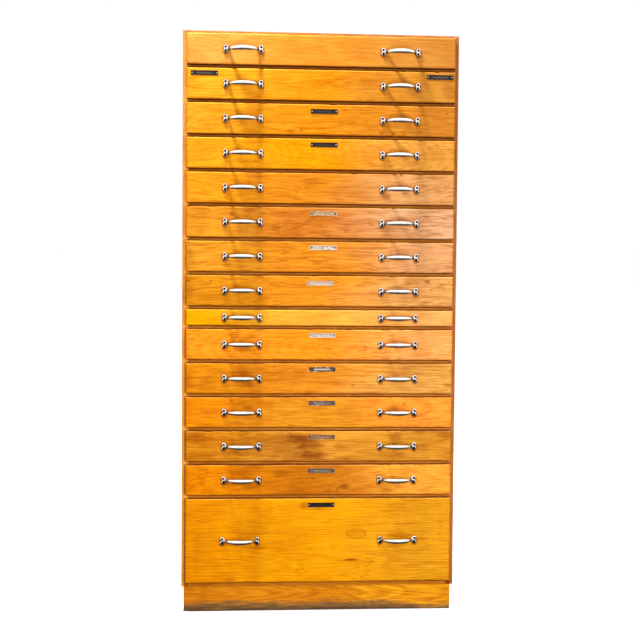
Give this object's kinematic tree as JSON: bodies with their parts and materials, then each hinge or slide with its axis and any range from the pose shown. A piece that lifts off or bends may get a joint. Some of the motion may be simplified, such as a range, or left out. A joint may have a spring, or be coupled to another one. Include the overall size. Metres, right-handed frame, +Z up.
{
  "type": "flat file cabinet",
  "caption": "Tall wooden flat file cabinet: a stack of wide shallow drawers, one thin and one deep, with overlay fronts, bow pulls and label plates, in a plain case on a plinth.",
  "frame": {"origin": "centre of the footprint's bounding box (pull tips to back) on the floor", "axes": "+Z up, +X to the right seen from the front, drawers face and open towards -Y"},
  "size_m": [0.762, 0.6596, 1.606],
  "materials": {
    "front_wood": "aged amber shellac, fine horizontal grain",
    "case_wood": "aged amber shellac, vertical grain, worn edges",
    "rail_wood": "darker unpolished hardwood, rubbed",
    "box_wood": "bare pale wood, dry and slightly dusty",
    "plywood": "bare plywood",
    "pull_metal": "cast and softly polished",
    "dark_screws": "blackened steel",
    "label_black": "worn black enamel, blank",
    "label_metal": "aged nickel-plated brass, blank"
  },
  "bodies": {
    "case": {"left_side_panel": "case_wood", "right_side_panel": "case_wood", "top_panel": "case_wood", "bottom_panel": "case_wood", "back_panel": "plywood", "back_panel_screws": "dark_screws", "front_rails": "rail_wood", "left_runners": "rail_wood", "right_runners": "rail_wood", "drawer_stops": "rail_wood", "plinth_front": "front_wood", "plinth_left": "case_wood", "plinth_right": "case_wood", "plinth_back": "case_wood", "plinth_corner_blocks": "box_wood"},
    "drawer_01": {"drawer_01_front": "front_wood", "drawer_01_box": "box_wood", "drawer_01_hardware": "pull_metal"},
    "drawer_02": {"drawer_02_front": "front_wood", "drawer_02_box": "box_wood", "drawer_02_hardware": "pull_metal"},
    "drawer_03": {"drawer_03_front": "front_wood", "drawer_03_box": "box_wood", "drawer_03_hardware": "pull_metal"},
    "drawer_04": {"drawer_04_front": "front_wood", "drawer_04_box": "box_wood", "drawer_04_hardware": "pull_metal"},
    "drawer_05": {"drawer_05_front": "front_wood", "drawer_05_box": "box_wood", "drawer_05_hardware": "pull_metal"},
    "drawer_06": {"drawer_06_front": "front_wood", "drawer_06_box": "box_wood", "drawer_06_hardware": "pull_metal"},
    "drawer_07": {"drawer_07_front": "front_wood", "drawer_07_box": "box_wood", "drawer_07_hardware": "pull_metal"},
    "drawer_08": {"drawer_08_front": "front_wood", "drawer_08_box": "box_wood", "drawer_08_hardware": "pull_metal"},
    "drawer_09": {"drawer_09_front": "front_wood", "drawer_09_box": "box_wood", "drawer_09_hardware": "pull_metal"},
    "drawer_10": {"drawer_10_front": "front_wood", "drawer_10_box": "box_wood", "drawer_10_hardware": "pull_metal"},
    "drawer_11": {"drawer_11_front": "front_wood", "drawer_11_box": "box_wood", "drawer_11_hardware": "pull_metal"},
    "drawer_12": {"drawer_12_front": "front_wood", "drawer_12_box": "box_wood", "drawer_12_hardware": "pull_metal"},
    "drawer_13": {"drawer_13_front": "front_wood", "drawer_13_box": "box_wood", "drawer_13_hardware": "pull_metal"},
    "drawer_14": {"drawer_14_front": "front_wood", "drawer_14_box": "box_wood", "drawer_14_hardware": "pull_metal"},
    "drawer_15": {"drawer_15_front": "front_wood", "drawer_15_box": "box_wood", "drawer_15_hardware": "pull_metal"}
  },
  "joints": [
    {"name": "drawer_01_slide", "type": "slide", "parent": "case", "child": "drawer_01", "axis": [0, -1, 0], "range_m": [0, 0.47]},
    {"name": "drawer_02_slide", "type": "slide", "parent": "case", "child": "drawer_02", "axis": [0, -1, 0], "range_m": [0, 0.47]},
    {"name": "drawer_03_slide", "type": "slide", "parent": "case", "child": "drawer_03", "axis": [0, -1, 0], "range_m": [0, 0.47]},
    {"name": "drawer_04_slide", "type": "slide", "parent": "case", "child": "drawer_04", "axis": [0, -1, 0], "range_m": [0, 0.47]},
    {"name": "drawer_05_slide", "type": "slide", "parent": "case", "child": "drawer_05", "axis": [0, -1, 0], "range_m": [0, 0.47]},
    {"name": "drawer_06_slide", "type": "slide", "parent": "case", "child": "drawer_06", "axis": [0, -1, 0], "range_m": [0, 0.47]},
    {"name": "drawer_07_slide", "type": "slide", "parent": "case", "child": "drawer_07", "axis": [0, -1, 0], "range_m": [0, 0.47]},
    {"name": "drawer_08_slide", "type": "slide", "parent": "case", "child": "drawer_08", "axis": [0, -1, 0], "range_m": [0, 0.47]},
    {"name": "drawer_09_slide", "type": "slide", "parent": "case", "child": "drawer_09", "axis": [0, -1, 0], "range_m": [0, 0.47]},
    {"name": "drawer_10_slide", "type": "slide", "parent": "case", "child": "drawer_10", "axis": [0, -1, 0], "range_m": [0, 0.47]},
    {"name": "drawer_11_slide", "type": "slide", "parent": "case", "child": "drawer_11", "axis": [0, -1, 0], "range_m": [0, 0.47]},
    {"name": "drawer_12_slide", "type": "slide", "parent": "case", "child": "drawer_12", "axis": [0, -1, 0], "range_m": [0, 0.47]},
    {"name": "drawer_13_slide", "type": "slide", "parent": "case", "child": "drawer_13", "axis": [0, -1, 0], "range_m": [0, 0.47]},
    {"name": "drawer_14_slide", "type": "slide", "parent": "case", "child": "drawer_14", "axis": [0, -1, 0], "range_m": [0, 0.47]},
    {"name": "drawer_15_slide", "type": "slide", "parent": "case", "child": "drawer_15", "axis": [0, -1, 0], "range_m": [0, 0.47]}
  ]
}
